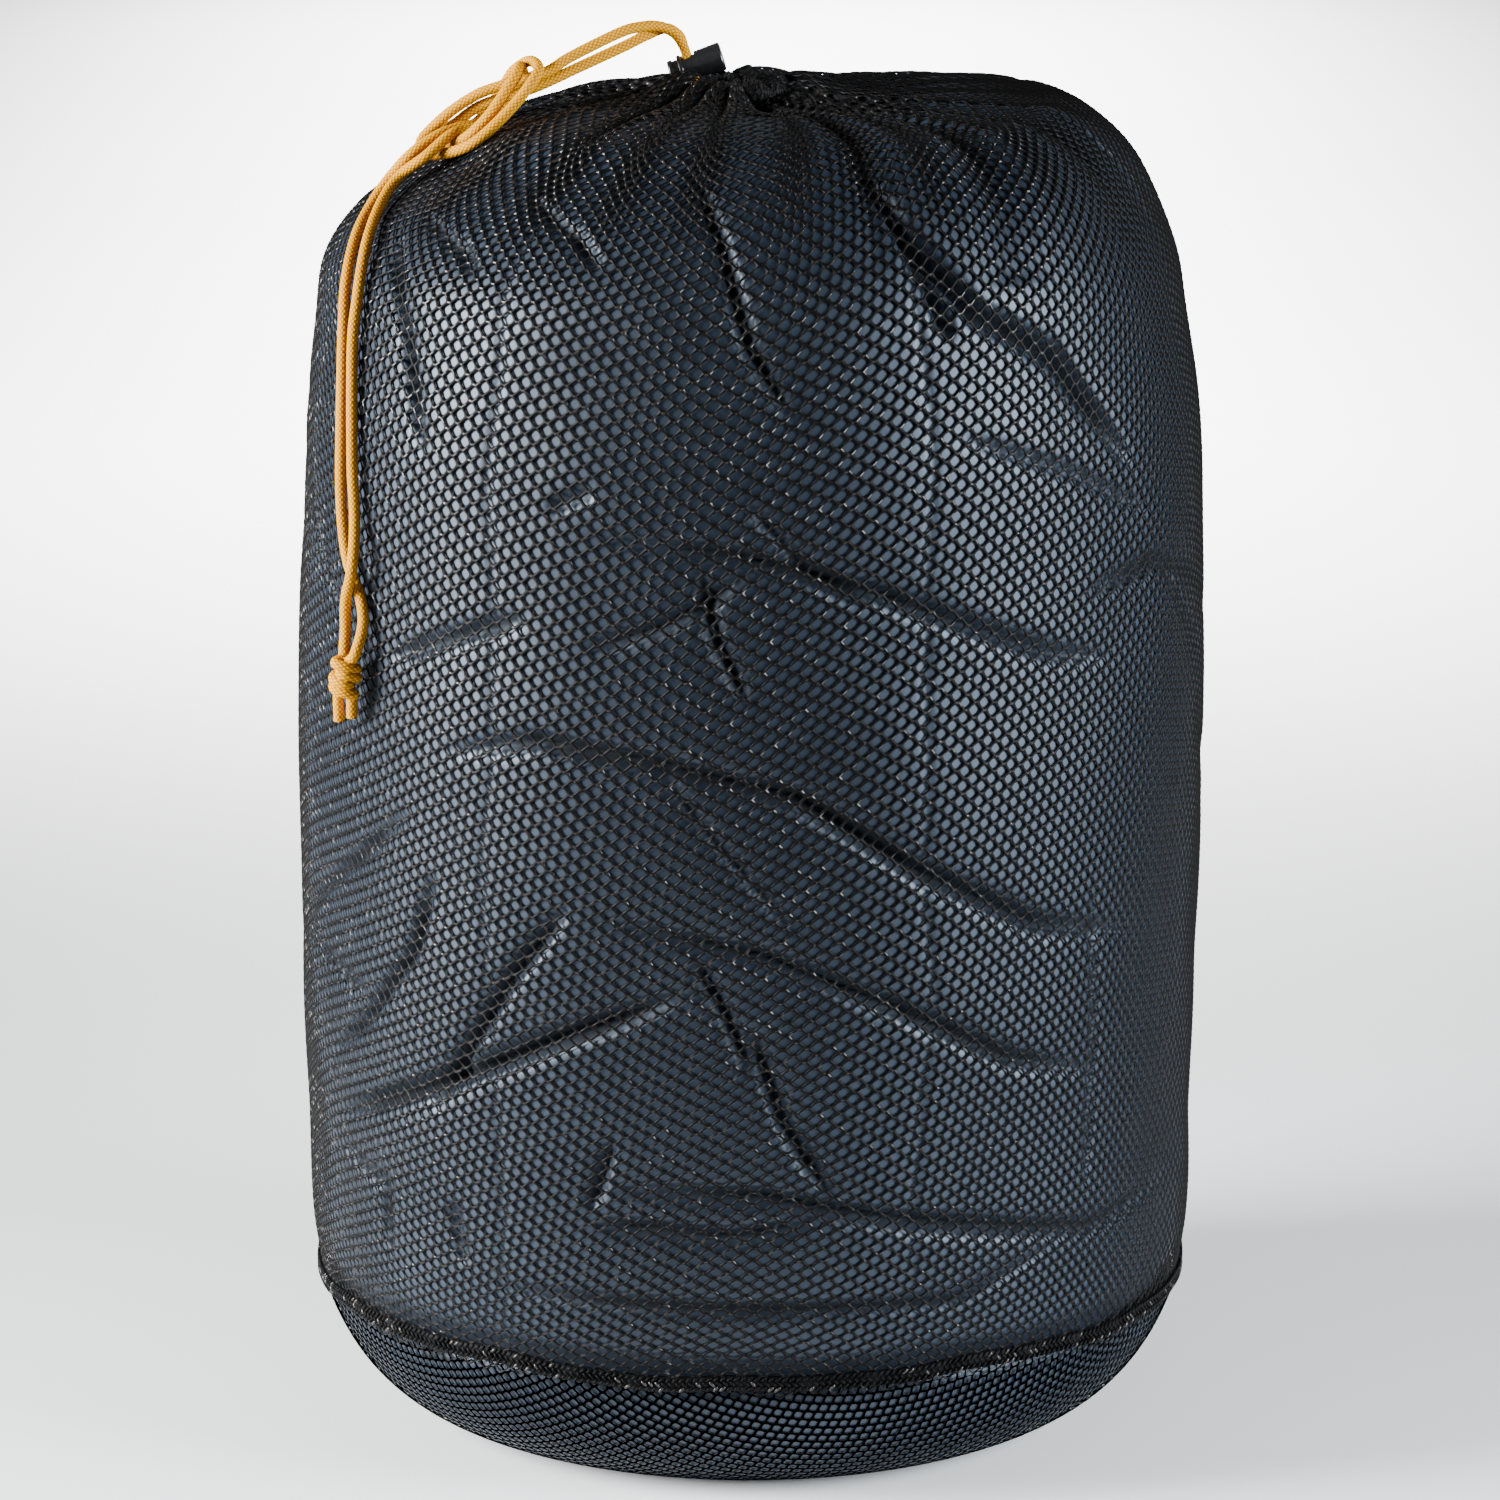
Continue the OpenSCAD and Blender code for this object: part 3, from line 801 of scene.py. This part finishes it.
bag_height, fold_shade_mask = bag_field()
pleats = pleat_field()
bridge = -slide_max(-slide_max(bag_height, BRIDGE), BRIDGE)
net_height = blur(BRIDGED * bridge + (1 - BRIDGED) * bag_height, 5)
net_height = blur(np.maximum(net_height, bag_height - 0.3) + pleats, 1)
# The bag falls away from the netting under the gathers and above the base seam
hollow = np.where(ON_TOP, 7 * np.exp(-((RADIUS - 20) / 38) ** 2), 0)
hollow += 4.5 * np.exp(-((S_GRID - SEAM_S - 4) / 7) ** 2)
bag_height = np.minimum(bag_height + 0.6 * pleats, net_height) - hollow - BAG_UNDER
# The satin shows bare just above the floor, where the netting sinks into it
bare = np.exp(-((S_GRID - (REST_R + 7)) / 9) ** 4)
bag_height += 1.0 * bare
net_height -= 1.1 * bare

plain, normals = clean_surface(A_GRID, S_GRID)
# Both lie a little above the floor where the sack stands on it
flat_lift = 0.75 * np.clip((REST_R + 6 - S_GRID) / 6, 0, 1)
bag_points = plain + normals * (bag_height - 0.3 * flat_lift)[..., None]
net_points = plain + normals * (net_height * UP - flat_lift)[..., None]


def surface_normals(points):
    """Normals of a grid of points, which face down at the middle of the base."""
    around = np.roll(points, -1, 0) - np.roll(points, 1, 0)
    found = unit(np.cross(around, np.gradient(points, axis=1)))
    found[:, 0] = (0, 0, -1)
    return found


net_normals = surface_normals(net_points)


def on_net(angle, cloth):
    """Points and normals of the netting's surface."""
    return sample(net_points, angle, cloth), sample(net_normals, angle, cloth)


def sleeping_bag():
    """The satin shell: the side and base, and a dished and rippled cap under the gathered mouth."""
    rings = [bag_points[:, j] for j in range(1, len(LEVELS))]
    ripple = 0.8 * np.sin(9 * ANGLES) + 0.5 * np.sin(14 * ANGLES + 1)
    for r, z in ((21.5, 556.0), (20, 553.6), (12, 553.0), (5, 554.6)):
        rings.append(polar(r, ANGLES, z + ripple * r / 22) + (MOUTH_X, 0, 0))
    rows = len(rings)
    obj = build("sleeping_bag_shell", np.concatenate(rings), grid_faces(rows, AROUND), [SATIN])
    deep = np.zeros((rows, AROUND), np.float32)
    deep[:len(LEVELS) - 1] = fold_shade_mask[:, 1:].T
    # The fold depth goes to the satin as the mask of its painted shade.
    obj.data.attributes.new("deep", "FLOAT", "POINT").data.foreach_set("value", deep.ravel())
    bm = bmesh.new()
    bm.from_mesh(obj.data)
    points = list(bm.verts)
    for base, flip in ((0, True), ((rows - 1) * AROUND, False)):
        ring = points[base:base + AROUND]
        middle = bm.verts.new(sum((v.co for v in ring), Vector()) / AROUND)
        for a, b in zip(ring, ring[1:] + ring[:1]):
            face = bm.faces.new((middle, b, a) if flip else (middle, a, b))
            face.smooth = True
    bm.normal_update()
    bm.to_mesh(obj.data)
    bm.free()
    return obj


bag = sleeping_bag()
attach(bag, "sack")
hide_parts("sleeping_bag")


# ---------------- netting

# Corners of a cell, in sixths of a column and quarters of a row
CELL_CORNERS = [(5, 0), (3, 1), (1, 2), (0, 2), (-1, 2), (-3, 1),
                (-5, 0), (-3, -1), (-1, -2), (0, -2), (1, -2), (3, -1)]
CORNERS = len(CELL_CORNERS)
CELL_PARTS = (6, 4)
HOLE = 0.74  # hole against cell
# Painted glint: at these yarns of a cell, the lighter brown or grey yarn stands in for light caught by
# the knots.
GLINTS = {2: 0.7, 3: 0.5, 5: 0.3, 6: 0.15, 8: 0.1}  # share of cells that shine at these yarns
KNOT_LIFT, YARN_LIFT = 0.55, 0.38  # how far knots and yarns stand above the cloth


def lattice(columns, rows):
    """Every pair of a column and a row number."""
    columns, rows = np.meshgrid(columns, rows, indexing="ij")
    return columns.ravel(), rows.ravel()


def hexagon_net(columns, rows):
    """Cells of a hexagon lattice, given by column and row numbers. Returns the rim points that cells
    share, which of them are knots, the cells' middles and hole points, and the quads from rim to hole."""
    corner = np.array(CELL_CORNERS)
    middle = np.stack([6 * columns, 4 * rows + 2 * (columns % 2)], -1)
    rim = middle[:, None] + corner[None]
    keys, where = np.unique(rim.reshape(-1, 2), axis=0, return_inverse=True)
    where = where.reshape(-1, CORNERS)
    knots = np.abs(corner[:, 0]) % 4 == 1
    round_off = np.where(knots, 0.94, 1.06)
    hole = middle[:, None] + HOLE * round_off[:, None] * corner[None]
    is_knot = np.zeros(len(keys), bool)
    is_knot[where[:, knots].ravel()] = True
    inner = len(keys) + np.arange(len(middle) * CORNERS).reshape(-1, CORNERS)
    j = np.arange(CORNERS)
    k = (j + 1) % CORNERS
    quads = np.stack([where[:, j], where[:, k], inner[:, k], inner[:, j]], -1)
    return keys, is_knot, middle, hole, quads


def net_mesh(name, place, columns, rows, pieces, proud=1.0):
    """Netting laid on a surface by place(column, row), which gives a point, its normal and how open
    a cell is there. It is cut into pieces, to keep each mesh small."""
    keys, is_knot, middle, hole, quads = hexagon_net(columns, rows)
    rim_at, rim_normal, _ = place(*(keys / CELL_PARTS).T)
    mid_at = middle / CELL_PARTS
    centre, _, open_up = place(*mid_at.T)
    hole_at = mid_at[:, None] + (hole / CELL_PARTS - mid_at[:, None]) * open_up[:, None, None]
    hole_points, hole_normal, _ = place(hole_at[..., 0].ravel(), hole_at[..., 1].ravel())
    lift = proud * np.where(is_knot, KNOT_LIFT, YARN_LIFT)[:, None]
    points = np.vstack([rim_at + lift * rim_normal, hole_points - 0.05 * hole_normal])
    inward = unit(np.repeat(centre, CORNERS, axis=0) - hole_points)
    bend = unit(np.vstack([rim_normal, 0.5 * hole_normal + 0.85 * inward]))
    rng = np.random.default_rng(5)
    # Painted glint: the yarns listed in GLINTS get the lighter brown or grey yarn in a share of the
    # cells.
    shade = np.zeros((len(columns), CORNERS), int)
    for corner, share in GLINTS.items():
        shade[:, corner] = rng.choice(3, len(columns), p=(1 - share, 0.6 * share, 0.4 * share))
    order = np.argsort(mid_at[:, 0], kind="stable")
    objs = []
    for n, cells in enumerate(np.array_split(order, pieces)):
        faces = quads[cells].reshape(-1, 4)
        used, faces = np.unique(faces, return_inverse=True)
        objs.append(build(f"{name}_{n}", points[used], faces.reshape(-1, 4), YARNS,
                          material_of=shade[cells].ravel(), bend=bend[used]))
    return objs


SIDE_COLUMNS = 288
LEAN = 0.19  # how far the columns lean over, against their height


def side_pitch(cloth):
    """Row pitch of the netting, which is stretched more towards the top."""
    z = outline(cloth, 1)
    pulled = np.interp(cloth, [CLOTH_END - 90, CLOTH_END - 20], [0, 1.5])
    return np.interp(z, [60, 90, 250, 400, 520], [4.6, 5.3, 5.7, 6.3, 6.6]) + pulled


# Row numbers of the netting at cloth lengths
ROW_CLOTH = np.linspace(SEAM_S - 80, CLOTH_END + 90, 3000)
ROW_NUMBER = np.concatenate([[0], np.cumsum(np.diff(ROW_CLOTH) / side_pitch(ROW_CLOTH[1:]))])


def side_cloth(column, row):
    """How far round from the side seam a lattice point is, and its cloth length. The rows climb and
    fall on their way round."""
    turn = column / SIDE_COLUMNS * math.tau
    front = turn - math.pi
    rise = GIRTH_R * (0.11 * np.tanh((front + 0.25) / 0.28) - 0.19 * front)
    return turn, np.interp(row, ROW_NUMBER, ROW_CLOTH) + rise


def side_place(column, row):
    """Where a lattice point of the side panel lies. The panel starts and ends at the side seam. Towards
    the mouth the columns bunch up in the pleats' creases, and the cells between them stay open."""
    turn, cloth = side_cloth(column, row)
    cloth += 1.6 * np.sin(7 * turn + row * 0.05) + 1.2 * np.sin(row * 0.11 + 2 * turn)
    cloth = np.clip(cloth, 0, CLOTH_END)
    radius = outline(cloth)
    lean = LEAN * (cloth - SEAM_S) / GIRTH_R * np.sin(turn / 2) ** 2
    angle = BACK + turn + 0.035 * np.sin(2 * turn + 0.7) - 0.02 * np.sin(3 * turn) + lean
    pitch = math.tau / SIDE_COLUMNS * radius
    top = cloth > at_height(480)
    bunch = np.where(top, np.clip(3.7 / pitch - 1, 0, 0.96), 0)
    which, across, drift = pleat_place(angle, radius)
    spread = across - bunch * np.sin(math.tau * across) / math.tau
    angle = PLEAT_AT[which] + spread * PLEAT_WIDE[which] + drift
    opening = np.clip(pitch * (1 - bunch * np.cos(math.tau * across)) / 3.5, 0.3, 1)
    return *on_net(angle, cloth), opening


def side_netting():
    columns, rows = lattice(np.arange(1, SIDE_COLUMNS), np.arange(int(ROW_NUMBER[-1])))
    _, cloth = side_cloth(columns, rows + 0.5 * (columns % 2))
    inside = (cloth > SEAM_S - 1) & (cloth < CLOTH_END - 1)
    return net_mesh("side_netting", side_place, columns[inside], rows[inside], 6)


BASE_PITCH = 5.2
BASE_COLUMN = 0.74  # a column's width against a row's height
BASE_TURN = 0.35  # the base's rows against the front, in radians
BASE_OPENING = 0.97


def base_place(column, row):
    x = column * BASE_PITCH * BASE_COLUMN
    y = row * BASE_PITCH
    cloth = np.clip(np.hypot(x, y), 0, CLOTH_END)
    angle = np.arctan2(y, x) - BASE_TURN
    opening = np.full(np.shape(x), BASE_OPENING)
    return *on_net(angle, cloth), opening


def base_netting():
    reach = int(SEAM_S / BASE_PITCH * 1.5)
    columns, rows = lattice(np.arange(-reach, reach), np.arange(-reach, reach))
    x = columns * BASE_PITCH * BASE_COLUMN
    y = (rows + 0.5 * (columns % 2)) * BASE_PITCH
    inside = np.hypot(x, y) < SEAM_S + 1
    return net_mesh("base_netting", base_place, columns[inside], rows[inside], 1, proud=0.4)


side_pieces = side_netting()
for piece in side_pieces:
    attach(piece, "sack")
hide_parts("side_panel")
base_piece = base_netting()[0]
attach(base_piece, "sack")
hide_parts("base_panel")


# ---------------- seams

def capsules(starts, ends, radius, lift_out, sides=6):
    """Short threads from starts to ends that bulge outward in the middle."""
    along = np.array([0, 0.12, 0.5, 0.88, 1])
    thick = radius * np.array([0.35, 0.9, 1.05, 0.9, 0.35])
    bulge = np.array([0, 0.6, 1, 0.6, 0])
    way = ends - starts
    out = unit(lift_out)
    across = np.cross(unit(way), out)
    a = np.arange(sides) * math.tau / sides
    middle = (starts[:, None] + along[:, None] * way[:, None]
              + bulge[:, None] * 0.35 * lift_out[:, None])
    ring = np.cos(a)[:, None] * across[:, None, None] + np.sin(a)[:, None] * out[:, None, None]
    points = middle[:, :, None] + thick[:, None, None] * ring
    one = grid_faces(len(along), sides)
    count = len(along) * sides
    faces = (np.arange(len(starts))[:, None, None] * count + one[None]).reshape(-1, 4)
    return points.reshape(-1, 3), faces


def seam_wave(angle):
    """How far the base seam rises and falls on its way round."""
    return 0.9 * np.sin(5 * angle + 0.6) + 0.6 * np.sin(11 * angle) + 0.35 * np.sin(23 * angle + 1)


STITCH_R = 0.6325
STITCHES = 420  # in each of the base seam's three rows
# The shiny stitches use the brown yarn, whose lighter colour is painted glint.
SHINY_STITCHES = 0.14  # share of them that catch the light


def base_seam():
    """The band that binds side and base, with three rows of overlock stitches on it."""
    count = 480
    angle = np.arange(count) * math.tau / count
    section = [(-1.4, -3.4), (0.2, -3.0), (0.8, -1.6), (1.0, 0), (1.1, 1.6), (0.8, 3.0), (-0.5, 3.4)]
    lump = 0.25 * np.sin(47 * angle) + 0.2 * np.sin(83 * angle + 2)
    rings = [polar(SEAM_R + out + (lump if out > 0 else 0), angle, SEAM_Z + up + seam_wave(angle))
             for out, up in section]
    band = build("seam_band", np.concatenate(rings), grid_faces(len(section), count), [THREAD])
    k = np.arange(STITCHES)
    out = SEAM_R + 0.9
    sewn = []
    for row, (up, tall, way) in enumerate(((-1.9, 2.0, 1), (0.1, 2.2, -1), (2.1, 2.0, 1))):
        mid = (k + 0.5 * row) * math.tau / STITCHES
        lean = way * 0.0062 + 0.0012 * np.sin(k * 1.7)
        z = SEAM_Z + up + seam_wave(mid)
        start = polar(out, mid - lean, z - tall / 2)
        end = polar(out, mid + lean, z + tall / 2)
        points, faces = capsules(start, end, STITCH_R, polar(1, mid, 0))
        # Painted glint: the shiny stitches get the brown yarn's lighter colour.
        shine = np.repeat(random.random(STITCHES) < SHINY_STITCHES, len(faces) // STITCHES)
        sewn.append(build(f"stitches_{row}", points, faces, [THREAD, YARNS[1]],
                          material_of=shine.astype(int)))
    return join("base_seam_overlock", [band] + sewn)


SIDE_STITCH = 2.7  # pitch of the side seam's stitches


def seam_turn(cloth):
    """Radians to a millimetre across the side seam, which narrows towards the mouth."""
    radius = outline(cloth)
    return np.clip(radius / 60, 0.5, 1) / np.maximum(radius, 20)


def side_seam():
    """The overlocked strip up the back, which follows the netting to the mouth."""
    cloth = np.arange(SEAM_S + 2, CLOTH_END, 3.0)
    across = np.array([-2.6, -2.2, -1.0, 1.0, 2.2, 2.6])
    high = np.array([-0.3, 0.75, 1.05, 1.05, 0.75, -0.3])
    angle = BACK + across * seam_turn(cloth)[:, None]
    points, out = on_net(angle, np.repeat(cloth[:, None], len(across), 1))
    co = points + high[:, None] * out
    quads = grid_faces(len(cloth), len(across), wrap=False)[:, ::-1]
    strip = build("seam_strip", co.reshape(-1, 3), quads, [THREAD])
    s = SEAM_S + 4 + SIDE_STITCH * np.arange(int((CLOTH_END - SEAM_S - 6) / SIDE_STITCH))
    sewn = []
    for n, side in enumerate((-1, 1)):
        a0 = BACK + side * 0.2 * seam_turn(s)
        a1 = BACK + side * 2.2 * seam_turn(s)
        start = sample(net_points, a0, s - 0.9) + 1.0 * sample(net_normals, a0, s)
        end = sample(net_points, a1, s + 0.9) + 0.8 * sample(net_normals, a1, s)
        points, faces = capsules(start, end, 0.5, sample(net_normals, a0, s))
        sewn.append(build(f"side_stitches_{n}", points, faces, [THREAD]))
    return join("side_seam_overlock", [strip] + sewn)


band = base_seam()
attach(band, "sack")
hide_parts("base_seam")
strip = side_seam()
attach(strip, "sack")
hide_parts("side_seam")


# ---------------- gathered hem and its cord

HEM_R, HEM_ROLL, HEM_Z = 17.0, 5.2, 558.8
HEM_PLEATS = 11
HEM_COLUMNS, HEM_ROWS = 96, 8


def hem_surface(angle, turn):
    """The gathered roll: deep ruffles that flatten where the cords come out under the lock."""
    x, y = MOUTH_X + HEM_R * np.cos(angle), HEM_R * np.sin(angle)
    calm = beside_lock(x, y)
    ruffle = (0.5 + 0.5 * np.cos(HEM_PLEATS * angle + 0.8 * np.sin(2 * angle))) ** 1.4
    ruffle = (ruffle + 0.30 * np.sin(5 * angle + 1) + 0.12 * np.sin(29 * angle + turn)) * calm
    roll = HEM_ROLL - 1.4 + 2.1 * ruffle * (0.6 + 0.4 * np.sin(turn))
    z = HEM_Z + roll * (1 + 0.1 * calm) * np.sin(turn)
    return polar(HEM_R + roll * np.cos(turn), angle, z) + (MOUTH_X, 0, 0)


def hem():
    """The gathered roll of cloth, and the netting's yarns on it."""
    around, turns = 300, 22
    turn, angle = lattice(np.arange(turns) * math.tau / turns, np.arange(around) * math.tau / around)
    roll = build("hem_roll", hem_surface(angle, turn), grid_faces(turns, around, wrap_rows=True), [HEM])
    yarn = net_mesh("hem_netting", hem_place, *lattice(np.arange(HEM_COLUMNS), np.arange(HEM_ROWS)), 1)
    return join("gathered_hem", [roll] + yarn)


def hem_place(column, row):
    """Where a lattice point lies on the hem. Its rows run round the roll."""
    angle, turn = column / HEM_COLUMNS * math.tau, row / HEM_ROWS * math.tau
    step = 0.01
    here = hem_surface(angle, turn)
    normal = np.cross(hem_surface(angle + step, turn) - here, hem_surface(angle, turn + step) - here)
    return here, unit(normal), np.full(np.shape(column), 0.8)


gather = hem()
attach(gather, "sack")
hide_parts("drawcord_channel")


# ---------------- cord lock

SPRING_FROM, SPRING_TO = 4.4, 11.4  # the spring's ends along the barrel, at its wire's middle
SPRING_R, SPRING_TURNS = 3.4, 5
WIRE_R, WIRE_SIDES = 0.35, 10


def lock_spring():
    """Compression spring between the plunger and the end of the bore."""
    turn = np.linspace(0, SPRING_TURNS * math.tau, 28 * SPRING_TURNS)
    along = np.linspace(SPRING_FROM, SPRING_TO, len(turn))
    wire = np.array([in_lock(x, SPRING_R * math.cos(a), SPRING_R * math.sin(a))
                     for x, a in zip(along, turn)])
    co = tube_points(wire, WIRE_R, WIRE_R, WIRE_SIDES)
    coil = build("lock_spring_coil", co.reshape(-1, 3), grid_faces(len(wire), WIRE_SIDES), [STEEL])
    close_ends(coil, WIRE_SIDES, core=False)
    return coil


spring = lock_spring()
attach(spring, "lock_body")
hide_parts("lock_spring")
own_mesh(spring)


def paint(node, material):
    """Puts a material on a CAD node."""
    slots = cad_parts[node].data.materials
    slots.clear()
    slots.append(material)


paint("drawcord_in_channel", BRAID)
paint("lock_barrel", LOCK)
paint("lock_plunger", LOCK)

FAR = 15000
floor = build("floor", [(-FAR, -FAR, 0), (FAR, -FAR, 0), (FAR, FAR, 0), (-FAR, FAR, 0)],
              [(0, 1, 2, 3)], [FLOOR])
